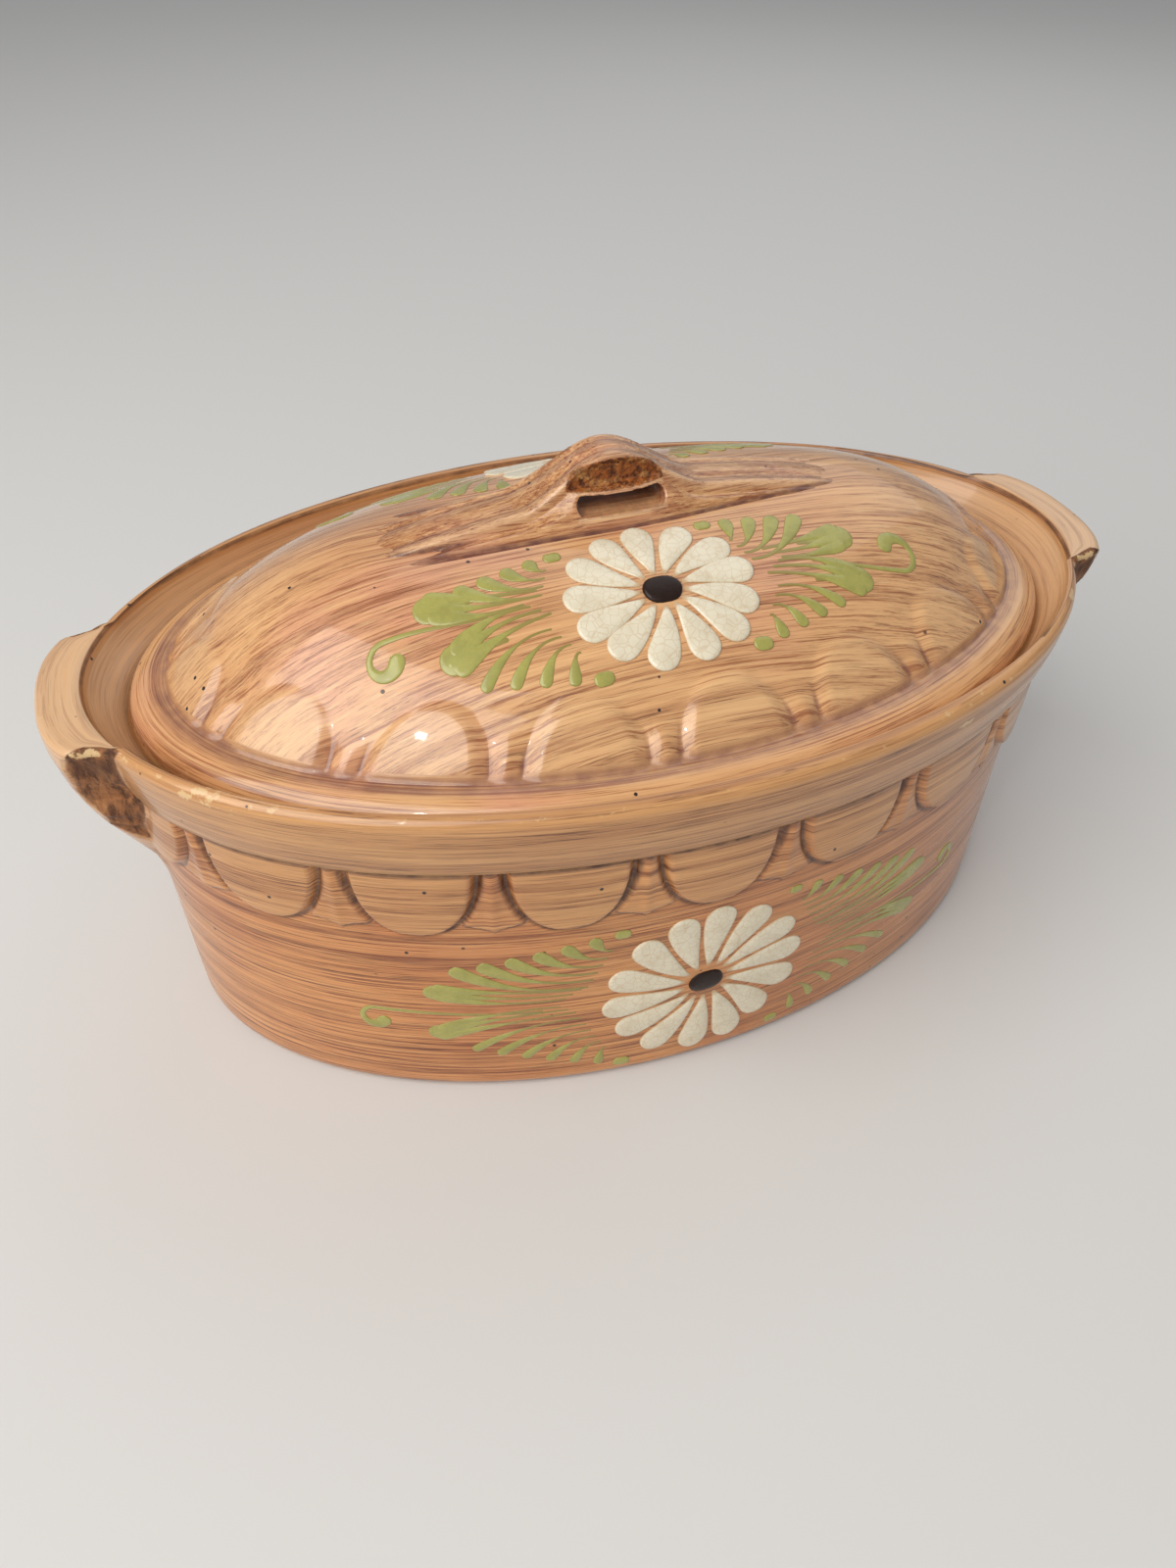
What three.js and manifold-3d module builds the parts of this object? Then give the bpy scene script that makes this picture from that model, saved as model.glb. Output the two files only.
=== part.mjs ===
// Oval lidded casserole in glazed earthenware.
//
// A deep pot with a moulded frieze, a flared rim band and a corbelled lug at each end, and a domed lid
// with a strap handle. The lid rests on a ledge inside the rim band and lifts straight off.
//
// Millimetres, +Z up. X runs along the pot and -Y is its front. The origin is the middle of the underside.
// An oval is { a, b }: half its length along X and half its width along Y.

import * as THREE from "three";
import { mergeVertices } from "three/addons/utils/BufferGeometryUtils.js";
import Module from "manifold-3d";

const wasm = await Module();
wasm.setup();

const GAP = 0.3; // between two pieces that touch
const OVAL_STEPS = 72; // sides of a turned oval

// Pot
const FOOT = { a: 187, b: 114 };
const SHOULDER = { a: 190.5, b: 115 };
const CAVITY_MOUTH = { a: 178, b: 104.5 };
const CAVITY_FOOT = { a: 175, b: 101.5 };
const FLOOR = 9;
const FOOT_ROUND = 5;
const CAVITY_ROUND = 15;
const WALL_TOP = 128.4;

// Rim band, with the ledge that carries the lid
const BAND_FOOT = { a: 195.2, b: 119.4 };
const RIM = { a: 200, b: 124.2 };
const RIM_INNER = { a: 196, b: 117.6 };
const RIM_TOP = 156.4;
const RIM_ROUND = 2;
const LEDGE_OUTER = { a: 186.8, b: 115.9 };
const LEDGE_INNER = { a: 176.5, b: 104.5 };
const LEDGE = 140;

// Frieze of hanging lobes and tassels under the band
const LOBES = 18;
const LOBE = { halfWidth: 22.3, depth: 34, proud: 3.2 };
const TASSEL = { halfWidth: 4.5, flare: 8, depth: 34, proud: 2.4 };

// Lugs: a flat top level with the rim, tapering down to the wall
const LUG_REACH = 24; // beyond where its corners meet the rim
const LUG_TOP = { outer: 215, halfWidth: 43 };
const LUG_CORNER = 0.82; // of the half-width, where the rounded front of a lug meets its side
const LUG_SIDE = 0.9; // of the half-width, where its side meets the wall

// Lid
const LID_EDGE = { a: 185, b: 115 };
const LID_EDGE_TOP = 146.4;
const LID_UNDER = LEDGE + GAP;
const BRIM = 14; // width of the level brim round the dome
const DOME_FOOT = 152;
const CREST = 195.5;
const CROWN = { a: 100, b: 30 }; // where the sides of the dome turn into its gentle crown
const LID_WALL = 5; // across and down, from the outside to the hollow

// Handle strap along the crest, humped over a finger slot
const STRAP_HALF_LENGTH = 90;
const STRAP_TOP = 204.5;
const STRAP_FALL = 0.0013; // per mm of x squared, so the strap follows the dome
const HUMP = { x: -3, halfLength: 34, rise: 15 };
const SLOT = { left: -18.5, right: 15, low: 199.3, high: 207 };

// ---------------------------------------------------------------- helpers

// A closed three.js geometry as a solid.
function solid(geometry) {
  const bare = geometry.clone();
  bare.deleteAttribute("normal");
  bare.deleteAttribute("uv");
  const merged = mergeVertices(bare, 1e-4);
  return new wasm.Manifold(
    new wasm.Mesh({
      numProp: 3,
      vertProperties: new Float32Array(merged.attributes.position.array),
      triVerts: new Uint32Array(merged.index.array),
    }),
  );
}

// One ring of an oval profile: an oval, drawn in by inset, at height z.
const ring = (oval, z, inset = 0) => ({ a: oval.a - inset, b: oval.b - inset, z });

// Rings of a round of the given radius, outermost on the oval, centred at height z, between two angles.
function roundRings(oval, radius, z, from, to, steps) {
  return Array.from({ length: steps + 1 }, (_, i) => {
    const angle = THREE.MathUtils.degToRad(from + ((to - from) * i) / steps);
    return ring(oval, z + radius * Math.sin(angle), radius * (1 - Math.cos(angle)));
  });
}

// A profile of rings turned about +Z on ovals instead of circles, as a solid.
// The rings go up the outside and down the inside, from axis to axis or round to the first ring.
function turned(rings) {
  const profile = rings.map(({ a, z }) => new THREE.Vector2(a, z));
  const lathe = new THREE.LatheGeometry(profile, OVAL_STEPS);
  const spot = lathe.attributes.position;
  for (let i = 0; i < spot.count; i++) {
    const { a, b, z } = rings[i % rings.length];
    const narrow = a > 0 ? b / a : 0;
    spot.setXYZ(i, spot.getX(i), -spot.getZ(i) * narrow, z);
  }
  return solid(lathe);
}

// A closed ring profile turned round the oval.
const turnedBand = (rings) => turned([...rings, rings[0]]);

// A flat outline in (u, z), pushed out to a depth along the given direction of the XY plane.
function pushed(outline, depth, origin, outward) {
  const out = new THREE.Vector3(outward.x, outward.y, 0).normalize();
  const up = new THREE.Vector3(0, 0, 1);
  const along = up.clone().cross(out);
  const extruded = new THREE.ExtrudeGeometry(new THREE.Shape(outline), { depth, bevelEnabled: false });
  extruded.applyMatrix4(new THREE.Matrix4().makeBasis(along, up, out).setPosition(origin));
  return solid(extruded);
}

// A solid as a named mesh in its glaze colour.
function piece(name, body, { color, roughness }) {
  const { vertProperties, triVerts } = body.getMesh();
  const geometry = new THREE.BufferGeometry();
  geometry.setAttribute("position", new THREE.BufferAttribute(new Float32Array(vertProperties), 3));
  geometry.setIndex(new THREE.BufferAttribute(new Uint32Array(triVerts), 1));
  geometry.computeVertexNormals();
  const mesh = new THREE.Mesh(geometry, new THREE.MeshStandardMaterial({ color, roughness, metalness: 0 }));
  mesh.name = name;
  return mesh;
}

// ---------------------------------------------------------------- pot

const wallTop = WALL_TOP - GAP; // the rim band stands on it

function potShell() {
  return turned([
    { a: 0, b: 0, z: 0 },
    ...roundRings(FOOT, FOOT_ROUND, FOOT_ROUND, -90, 0, 2),
    ring(SHOULDER, wallTop),
    ring(CAVITY_MOUTH, wallTop),
    ...roundRings(CAVITY_FOOT, CAVITY_ROUND, FLOOR + CAVITY_ROUND, 0, -90, 3),
    { a: 0, b: 0, z: FLOOR },
  ]);
}

// A layer standing proud of the wall over the height of the frieze, bedded 1 mm into it.
function friezeLayer(proud) {
  const bed = 1;
  const low = wallTop - LOBE.depth - 2;
  return turnedBand([
    ring(SHOULDER, low, bed + 2),
    ring(SHOULDER, low, -proud),
    ring(SHOULDER, wallTop, -proud),
    ring(SHOULDER, wallTop, bed),
  ]);
}

// A hanging lobe: flat at the top, round below.
function lobeOutline() {
  const steps = 10;
  const fullness = 0.85; // 1 is an ellipse, less is squarer
  return Array.from({ length: steps + 1 }, (_, i) => {
    const angle = (Math.PI * i) / steps;
    const across = Math.sign(Math.cos(angle)) * Math.abs(Math.cos(angle)) ** fullness;
    return new THREE.Vector2(-LOBE.halfWidth * across, -LOBE.depth * Math.sin(angle) ** fullness);
  });
}

// A hanging tassel: a narrow stem that flares to a pointed foot.
function tasselOutline() {
  const right = [
    [TASSEL.halfWidth, 0],
    [TASSEL.halfWidth * 0.8, -TASSEL.depth * 0.5],
    [TASSEL.halfWidth, -TASSEL.depth * 0.65],
    [TASSEL.flare, -TASSEL.depth * 0.85],
    [TASSEL.halfWidth * 0.5, -TASSEL.depth * 0.94],
  ];
  const left = right.map(([u, z]) => [-u, z]);
  return [...left, [0, -TASSEL.depth], ...right.reverse()].map(([u, z]) => new THREE.Vector2(u, z));
}

// The places of a repeated outline round the wall, a whole number and a fraction of periods from the front.
function places(offset) {
  const wall = new THREE.EllipseCurve(0, 0, SHOULDER.a, SHOULDER.b);
  const front = 0.75; // of the way round from +X
  return Array.from({ length: LOBES }, (_, i) => {
    const along = (front + (i + offset) / LOBES) % 1;
    const spot = wall.getPointAt(along);
    const tangent = wall.getTangentAt(along);
    return { spot, outward: new THREE.Vector2(tangent.y, -tangent.x) };
  });
}

// Outlines stood round the wall and trimmed to an even thickness.
function frieze(outline, offset, proud) {
  const reach = 20;
  const blocks = places(offset).map(({ spot, outward }) => {
    const start = new THREE.Vector3(spot.x, spot.y, wallTop).addScaledVector(
      new THREE.Vector3(outward.x, outward.y, 0),
      -reach / 2,
    );
    return pushed(outline, reach, start, outward);
  });
  return wasm.Manifold.union(blocks).intersect(friezeLayer(proud));
}

function potBody() {
  return potShell()
    .add(frieze(lobeOutline(), 0, LOBE.proud))
    .add(frieze(tasselOutline(), 0.5, TASSEL.proud));
}

// The band flares outwards going up and rounds over at the rim. Inside it slopes down to the ledge.
function rimBand() {
  return turnedBand([
    ring(LEDGE_INNER, WALL_TOP),
    ring(BAND_FOOT, WALL_TOP),
    ring(BAND_FOOT, WALL_TOP + 3, -1.2),
    ring(RIM, RIM_TOP - 7, 0.8),
    ...roundRings(RIM, RIM_ROUND, RIM_TOP - RIM_ROUND, 0, 90, 3),
    ring(RIM_INNER, RIM_TOP),
    ring(LEDGE_OUTER, LEDGE),
    ring(LEDGE_INNER, LEDGE),
  ]);
}

// The pot and band swollen by the gap, to trim whatever stands against them.
function potClearance() {
  return turned([
    { a: 0, b: 0, z: 0 },
    ring(FOOT, 0, -GAP),
    ring(SHOULDER, wallTop - LOBE.depth, -GAP),
    ring(SHOULDER, wallTop - LOBE.depth, -GAP - LOBE.proud),
    ring(BAND_FOOT, WALL_TOP - GAP, -GAP),
    ring(BAND_FOOT, WALL_TOP + 3, -1.2 - GAP),
    ring(RIM, RIM_TOP - 7, 0.8 - GAP),
    ring(RIM, RIM_TOP + 1, -GAP),
    { a: 0, b: 0, z: RIM_TOP + 1 },
  ]);
}

// One level of a lug: a rounded front across the end of the pot, then a slanted side each way, in to the wall.
function lugLevel({ z, outer, halfWidth }) {
  const corner = outer - LUG_REACH;
  const inside = 150;
  const side = LUG_SIDE * halfWidth;
  const steps = 14;
  const points = [
    [inside, side],
    [corner, side],
  ];
  for (let i = 0; i <= steps; i++) {
    const across = LUG_CORNER * (1 - (2 * i) / steps);
    points.push([corner + LUG_REACH * Math.sqrt(1 - Math.abs(across) ** 2.4), across * halfWidth]);
  }
  points.push([corner, -side], [inside, -side]);
  return points.map(([x, y]) => new THREE.Vector3(x, y, z));
}

// Levels of equal point count joined into one closed solid, lowest first.
function lofted(levels) {
  const count = levels[0].length;
  const points = levels.flat();
  const index = [];
  for (let level = 0; level + 1 < levels.length; level++) {
    for (let i = 0; i < count; i++) {
      const low = level * count;
      const [p, q] = [low + i, low + ((i + 1) % count)];
      index.push(q, p, q + count, p, p + count, q + count);
    }
  }
  const last = points.length - count;
  for (let i = 1; i + 1 < count; i++) {
    index.push(0, i, i + 1, last, last + i + 1, last + i);
  }
  const geometry = new THREE.BufferGeometry().setFromPoints(points);
  geometry.setIndex(index);
  return solid(geometry);
}

// The right-hand lug, corbelled out from the wall below the rim.
function lug() {
  const levels = [
    { z: 72, outer: 188, halfWidth: 18 },
    { z: 90, outer: 196.5, halfWidth: 24 },
    { z: 108, outer: 205.5, halfWidth: 30 },
    { z: 126, outer: 211, halfWidth: 36 },
    { z: 147, ...LUG_TOP },
    { z: RIM_TOP - 2, ...LUG_TOP },
    { z: RIM_TOP, outer: LUG_TOP.outer - 2, halfWidth: LUG_TOP.halfWidth - 1 },
  ];
  return lofted(levels.map(lugLevel)).subtract(potClearance());
}

// ---------------------------------------------------------------- lid

// Height of the dome's outside at a distance in from the lid's edge: steep at the brim, level at the crest.
function domeHeight(inset) {
  const side = (inset - BRIM) / (LID_EDGE.b - BRIM);
  return DOME_FOOT + (CREST - DOME_FOOT) * (1 - (1 - side) ** 2.5);
}

// Rings of the outside of the dome's sides: how far each is in from the lid's edge, and its height.
const DOME = [BRIM, 24, 35, 48, 61].map((inset) => [inset, domeHeight(inset)]);
const CROWN_FOOT = domeHeight(LID_EDGE.b - CROWN.b);

// The gentle crown: rings shrinking to the axis, from the height of its foot to its crest.
function crownRings(crown, foot, crest) {
  const steps = 4;
  return Array.from({ length: steps + 1 }, (_, i) => {
    const t = 1 - i / steps;
    return { a: crown.a * t, b: crown.b * t, z: crest - (crest - foot) * t ** 2.5 };
  });
}

// Turned from the middle of the hollow out to the brim, round the edge and back over the dome.
function lidDome() {
  const inward = { a: LID_EDGE.a - LID_WALL, b: LID_EDGE.b - LID_WALL };
  const crownInside = { a: CROWN.a - LID_WALL / 2, b: CROWN.b - LID_WALL / 2 };
  const seat = BRIM + 0.5; // width of the flat rim under the brim
  return turned([
    ...crownRings(crownInside, CROWN_FOOT - LID_WALL, CREST - LID_WALL).reverse(),
    ...DOME.map(([inset, z]) => ring(inward, z - LID_WALL, inset)).reverse(),
    ring(LID_EDGE, LID_UNDER, seat),
    ring(LID_EDGE, LID_UNDER, 1.6),
    ring(LID_EDGE, LID_UNDER + 1, 0.4),
    ring(LID_EDGE, LID_UNDER + 3),
    ring(LID_EDGE, LID_EDGE_TOP - 1.5),
    ring(LID_EDGE, LID_EDGE_TOP, 0.7),
    ring(LID_EDGE, LID_EDGE_TOP + 0.9, 2.2),
    ...DOME.map(([inset, z]) => ring(LID_EDGE, z, inset)),
    ...crownRings(CROWN, CROWN_FOOT, CREST),
  ]);
}

// Everything below the outside of the lid, raised by the gap, to trim the foot of the handle.
function lidClearance() {
  return turned([
    { a: 0, b: 0, z: LID_UNDER },
    ring(LID_EDGE, LID_UNDER),
    ...DOME.map(([inset, z]) => ring(LID_EDGE, z + GAP, inset)),
    ...crownRings(CROWN, CROWN_FOOT + GAP, CREST + GAP),
  ]);
}

function strapTop(x) {
  const across = Math.min(Math.abs(x - HUMP.x) / HUMP.halfLength, 1);
  return STRAP_TOP - STRAP_FALL * x * x + HUMP.rise * Math.cos((Math.PI / 2) * across) ** 2;
}

// The strap seen from the front.
function strapSide() {
  const steps = 32;
  const low = 180;
  const points = [new THREE.Vector2(-STRAP_HALF_LENGTH, low), new THREE.Vector2(STRAP_HALF_LENGTH, low)];
  for (let i = 0; i <= steps; i++) {
    const x = STRAP_HALF_LENGTH * (1 - (2 * i) / steps);
    points.push(new THREE.Vector2(x, strapTop(x)));
  }
  return points;
}

// The strap seen from its end: slanted sides that sweep out into the dome, narrower at the top.
function strapEnd() {
  const right = [
    [24, 180],
    [20.5, 193.5],
    [15, 198.5],
    [11.5, 203],
    [9.5, 212],
    [7, 225],
  ];
  const left = right.map(([y, z]) => [-y, z]).reverse();
  return [...right, ...left].map(([y, z]) => new THREE.Vector2(y, z));
}

function slotOutline() {
  const radius = (SLOT.high - SLOT.low) / 2;
  const middle = (SLOT.high + SLOT.low) / 2;
  const outline = new THREE.Shape();
  outline.absarc(SLOT.right - radius, middle, radius, -Math.PI / 2, Math.PI / 2, false);
  outline.absarc(SLOT.left + radius, middle, radius, Math.PI / 2, (Math.PI * 3) / 2, false);
  return outline.getPoints(6);
}

function lidHandle() {
  const front = { x: 0, y: -1 };
  const end = { x: 1, y: 0 };
  const deep = 60;
  const long = 2 * STRAP_HALF_LENGTH + 10;
  const side = pushed(strapSide(), deep, new THREE.Vector3(0, deep / 2, 0), front);
  const section = pushed(strapEnd(), long, new THREE.Vector3(-long / 2, 0, 0), end);
  const slot = pushed(slotOutline(), deep, new THREE.Vector3(0, deep / 2, 0), front);
  return side.intersect(section).subtract(slot).subtract(lidClearance());
}

// ---------------------------------------------------------------- assembly

const WALL_GLAZE = { color: 0xb57a4b, roughness: 0.35 };
const BAND_GLAZE = { color: 0xc39462, roughness: 0.3 };
const LUG_GLAZE = { color: 0xd0a474, roughness: 0.45 };
const LID_GLAZE = { color: 0xc99764, roughness: 0.15 };
const HANDLE_GLAZE = { color: 0xb4814f, roughness: 0.25 };

const pot = new THREE.Group();
pot.add(
  piece("pot_body", potBody(), WALL_GLAZE),
  piece("rim_band", rimBand(), BAND_GLAZE),
  piece("lug_right", lug(), LUG_GLAZE),
  piece("lug_left", lug().rotate([0, 0, 180]), LUG_GLAZE),
);

const lid = new THREE.Group();
lid.add(piece("lid_dome", lidDome(), LID_GLAZE), piece("lid_handle", lidHandle(), HANDLE_GLAZE));

const casserole = new THREE.Group();
casserole.add(pot, lid);
export default casserole;
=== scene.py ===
"""An oval lidded casserole in glazed earthenware with slip-trailed daisies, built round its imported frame.

Lengths below are in millimetres unless a name says otherwise, and MM turns them into Blender's metres.
+Z is up, X runs along the pot, -Y is its front.
"""

import math

import bmesh
import bpy
import numpy as np
from mathutils import Matrix, Vector


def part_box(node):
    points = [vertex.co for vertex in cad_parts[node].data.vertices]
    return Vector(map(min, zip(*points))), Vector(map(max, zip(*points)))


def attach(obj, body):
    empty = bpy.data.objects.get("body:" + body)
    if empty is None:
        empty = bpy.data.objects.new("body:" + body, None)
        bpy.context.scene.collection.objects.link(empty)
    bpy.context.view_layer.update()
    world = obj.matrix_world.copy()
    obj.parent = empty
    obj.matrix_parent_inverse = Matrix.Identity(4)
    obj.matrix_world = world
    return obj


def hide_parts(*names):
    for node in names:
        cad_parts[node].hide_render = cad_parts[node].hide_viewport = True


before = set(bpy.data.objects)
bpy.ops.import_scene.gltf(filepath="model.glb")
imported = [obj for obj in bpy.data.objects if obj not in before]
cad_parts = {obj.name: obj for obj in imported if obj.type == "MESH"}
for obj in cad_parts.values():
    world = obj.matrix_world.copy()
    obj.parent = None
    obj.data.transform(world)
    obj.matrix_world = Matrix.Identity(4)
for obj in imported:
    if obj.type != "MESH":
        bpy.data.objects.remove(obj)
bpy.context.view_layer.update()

MM = 0.001
PI = math.pi


def corner(node, which):
    """The lowest (0) or highest (1) corner of a CAD node, in mm."""
    return np.array(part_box(node)[which]) / MM


# ---- sizes, from the frame

RIM = corner("rim_band", 1)[:2]
RIM_TOP = corner("rim_band", 1)[2]
BAND_LOW = corner("rim_band", 0)[2]
LUG_OUT = corner("lug_right", 1)[0]
LUG_LOW = corner("lug_right", 0)[2]
LID = corner("lid_dome", 1)[:2]
LID_LOW = corner("lid_dome", 0)[2]
CREST = corner("lid_dome", 1)[2]
STRAP_END = corner("lid_handle", 1)[0]
STRAP_PEAK = corner("lid_handle", 1)[2]

SHOULDER = RIM - 9.4  # the wall just under the band
FOOT = SHOULDER - (3.5, 1.0)
FOOT_ROUND = 5.0
BAND_FOOT = RIM - 4.8
RIM_INNER = RIM - (1.6, 7.2)
LEDGE_OUTER = LID + (1.8, 0.9)
LEDGE_INNER = LID - (8.5, 10.5)
LEDGE = LID_LOW - 0.3
CAVITY_MOUTH = LID - (7.0, 10.5)
CAVITY_FOOT = LID - (10.0, 13.5)
FLOOR = 9.0
CAVITY_ROUND = 15.0
RIM_ROUND = 4.0
RIM_TILT = 40.0  # picks the slow unevenness of the rim

LOBES = 18  # in the frieze round the pot
PADS = 16  # round the lid
PAD_SHIFT = 0.21  # of a pad, from the middle of the front
FINE = 56 * LOBES  # points round a detailed ring

LID_EDGE_TOP = RIM_TOP - 10.0
BRIM = 14.0  # width of the lid's brim
BRIM_TOP = LID_EDGE_TOP + 5.6
CROWN = 85.0  # how far in the dome's sides turn into its crown

ALONG_GRAIN = 0.013  # how far brush marks are drawn out

rng = np.random.default_rng(7)


# ---- small helpers


def smooth(t):
    t = np.clip(t, 0.0, 1.0)
    return t * t * (3 - 2 * t)


def bell(t):
    return np.exp(-(t**2))


def srgb(*rgb):
    """An 8-bit screen colour as Blender's linear RGBA."""
    c = np.array(rgb) / 255.0
    linear = np.where(c <= 0.04045, c / 12.92, ((c + 0.055) / 1.055) ** 2.4)
    return (*linear.tolist(), 1.0)


def even_angles(oval, count):
    """Angles of evenly spaced points on an oval, how far along it each is, and its length, from the front."""
    fine = np.linspace(0, 2 * PI, 20001) - PI / 2
    speed = np.hypot(oval[0] * np.sin(fine), oval[1] * np.cos(fine))
    steps = (speed[1:] + speed[:-1]) / 2 * np.diff(fine)
    length = np.concatenate([[0], np.cumsum(steps)])
    along = np.arange(count) / count * length[-1]
    return np.interp(along, length, fine), along, length[-1]


def oval_normal(oval, angle):
    """The x and y of an oval's unit normals."""
    normal = np.stack([np.cos(angle) / oval[0], np.sin(angle) / oval[1]])
    return normal / np.hypot(*normal)


def wobble(angle, height, amount):
    """The slow unevenness of hand work: a few long waves round the pot."""
    waves = [(2, 0.9, 0.013), (3, 2.1, -0.02), (5, 4.0, 0.031), (8, 0.4, 0.05)]
    total = sum(np.sin(n * angle + phase + drift * height) / n**0.6 for n, phase, drift in waves)
    return total * amount / 2.2


def linked(name, data):
    """A new object in the scene."""
    made = bpy.data.objects.new(name, data)
    bpy.context.scene.collection.objects.link(made)
    return made


def mesh_object(name, points, faces, materials):
    """A smooth-shaded mesh from points in mm."""
    mesh = bpy.data.meshes.new(name)
    mesh.from_pydata((np.asarray(points) * MM).tolist(), [], faces)
    mesh.validate()
    mesh.shade_smooth()
    for material in materials:
        mesh.materials.append(material)
    return linked(name, mesh)


def set_attribute(mesh, name, values):
    """Stores a number or a vector for each point of a mesh."""
    values = np.asarray(values, np.float32)
    kind, field = ("FLOAT", "value") if values.ndim == 1 else ("FLOAT_VECTOR", "vector")
    mesh.attributes.new(name, kind, "POINT").data.foreach_set(field, values.ravel())


def add_piece(piece, body, replaced=()):
    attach(piece, body)
    if replaced:
        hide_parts(*replaced)


# ---- turned skins

# A row is a ring of points with what the glaze needs to know about each; its stain column holds real stains
# and also painted shade. Its columns are:
X, Y, Z, GRAIN_X, GRAIN_Y, GRAIN_Z, STAIN_AND_SHADE, RAW, WEAR, TONE = range(10)


def new_row(points, across, stain_and_shade=0.0, raw=0.0, wear=0.0, tone=0.0):
    """A ring whose brush marks run round the pot: across is the distance over the marks."""
    row = np.zeros((len(points), 10))
    row[:, :3] = points
    row[:, GRAIN_X] = points[:, 0] * ALONG_GRAIN
    row[:, GRAIN_Y] = points[:, 1] * ALONG_GRAIN
    for column, value in ((GRAIN_Z, across), (STAIN_AND_SHADE, stain_and_shade), (RAW, raw), (WEAR, wear), (TONE, tone)):
        row[:, column] = value
    return row


def oval_points(oval, angle, z):
    """Points of an oval at height z."""
    return np.stack([oval[0] * np.cos(angle), oval[1] * np.sin(angle), np.broadcast_to(z, angle.shape)], 1)


def bands_of_faces(rows):
    """Faces from each row to the next. A row has one point, as many as its neighbour, or a multiple."""
    faces = []
    start = 0
    for low, high in zip(rows, rows[1:]):
        n, m = len(low), len(high)
        top = start + n
        if n == 1:
            faces += [(start, top + (i + 1) % m, top + i) for i in range(m)]
        elif m == 1:
            faces += [(start + i, start + (i + 1) % n, top) for i in range(n)]
        elif n >= m:
            k = n // m
            for i in range(m):
                edge = [start + (i * k + s) % n for s in range(k + 1)]
                faces.append([*edge, top + (i + 1) % m, top + i])
        else:
            k = m // n
            for i in range(n):
                edge = [top + (i * k + s) % m for s in range(k, -1, -1)]
                faces.append([start + i, start + (i + 1) % n, *edge])
        start = top
    return faces


def skin(name, rows, materials, material_of_row):
    """Rows lofted into a closed mesh. material_of_row is the material index of the faces above each row."""
    table = np.concatenate(rows)
    piece = mesh_object(name, table[:, :3], bands_of_faces(rows), materials)
    mesh = piece.data
    set_attribute(mesh, "grain", table[:, GRAIN_X : GRAIN_Z + 1] * MM)
    for mark, column in (("stain_and_shade", STAIN_AND_SHADE), ("raw", RAW), ("wear", WEAR), ("tone", TONE)):
        set_attribute(mesh, mark, table[:, column])
    row_of_point = np.repeat(np.arange(len(rows)), [len(r) for r in rows])
    first = np.array([row_of_point[list(p.vertices)].min() for p in mesh.polygons])
    mesh.polygons.foreach_set("material_index", np.array(material_of_row)[first].astype(np.int32))
    return piece


# ---- relief


def lobe_distance(u, depth, half_width, length):
    """How far inside a hanging lobe, a slightly square half oval, a point is. Negative is outside."""
    power = 2.3
    depth = np.clip(depth, 0, None)
    f = ((np.abs(u) / half_width) ** power + (depth / length) ** power) ** (1 / power)
    f = np.maximum(f, 1e-3)
    return (1 - f) * np.hypot(u, depth) / f


def wrapped(u, period):
    return (u + period / 2) % period - period / 2


def frieze_relief(u, depth, period):
    """Height, stain (partly painted shadow) and paleness of hanging lobes with tassels between. depth runs
    down from their top.
    """
    half, length, proud = period / 2, 34.0, 3.4
    u = wrapped(u, period)
    inside = lobe_distance(u, depth, half * 0.81, length)
    lobe = proud * (0.86 * smooth((inside + 0.2) / 2.6) + 0.14 * smooth(inside / 15))
    between = half - np.abs(u)
    fade = np.clip(depth / length, 0, 1)
    hem = 33.0 - 3.5 * (between / 10.5) ** 0.7 - 3 * np.clip(between - 10.5, 0, None)
    ridge = 1.5 * bell(between / 2.3) * (1 - 0.8 * fade)
    gap = smooth((-inside - 0.9) / 1.7)
    tassel = smooth((hem - depth) / 1.4) * gap * (1.7 + ridge)
    groove = bell((inside + 0.8) / 1.1)
    height = np.where(inside > -0.2, lobe, tassel) - 0.5 * groove
    under_hem = bell((depth - hem - 0.3) / 0.9) * (between < 11.5)
    soak = bell((inside + 1.4) / 1.9) * (1 - fade) ** 0.7
    # The dark outline in each lobe's groove and the dark line under each tassel's hem are partly stain,
    # partly painted shadow.
    stain_and_shade = np.maximum.reduce([groove, 0.85 * under_hem, soak])
    pale = smooth(inside / 4) + 0.7 * smooth((hem - depth) / 1.4) * gap * fade
    return height, np.clip(stain_and_shade, 0, 1), pale


def arch_relief(u, rise, period):
    """Height, stain and paleness of the lid's soft pads. rise runs up the dome from the brim."""
    half, length = period / 2, 28.0
    u = wrapped(u, period)
    inside = lobe_distance(u, rise, half * 0.74, length)
    between = half - np.abs(u)
    foot = 1 - smooth((rise - 5) / 15)
    pad = 1.6 * smooth((inside + 1.4) / 6.5)
    tassel = 1.3 * bell(between / 3.3) * foot
    groove = bell((inside + 1.6) / 1.3) * foot
    height = np.maximum(pad, tassel) - 0.6 * groove
    stain_and_shade = np.maximum(0.75 * groove * smooth(rise / 3), 0.2 * bell((inside + 0.8) / 1.3))
    return height, stain_and_shade, smooth(inside / 5)


# ---- lugs

LUG_CORNER_REACH = 24.0
LUG_SIDE = 0.9  # of a lug's half-width, where its side face meets the wall
LUG_HALF_WIDTH = corner("lug_right", 1)[1] / LUG_SIDE
# How far out and how wide a lug is, from its foot on the wall up to the rim.
LUG_LEVELS = np.array([LUG_LOW, 80, 90, 100, 110, 120, 132, 147, RIM_TOP + 1])
LUG_OUTERS = LUG_OUT - np.array([28.0, 22.5, 17.5, 12.8, 8.2, 5.0, 2.4, 0.4, 0.0])
LUG_WIDTHS = LUG_HALF_WIDTH * np.array([0.40, 0.46, 0.54, 0.62, 0.70, 0.79, 0.90, 1.0, 1.0])


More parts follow.
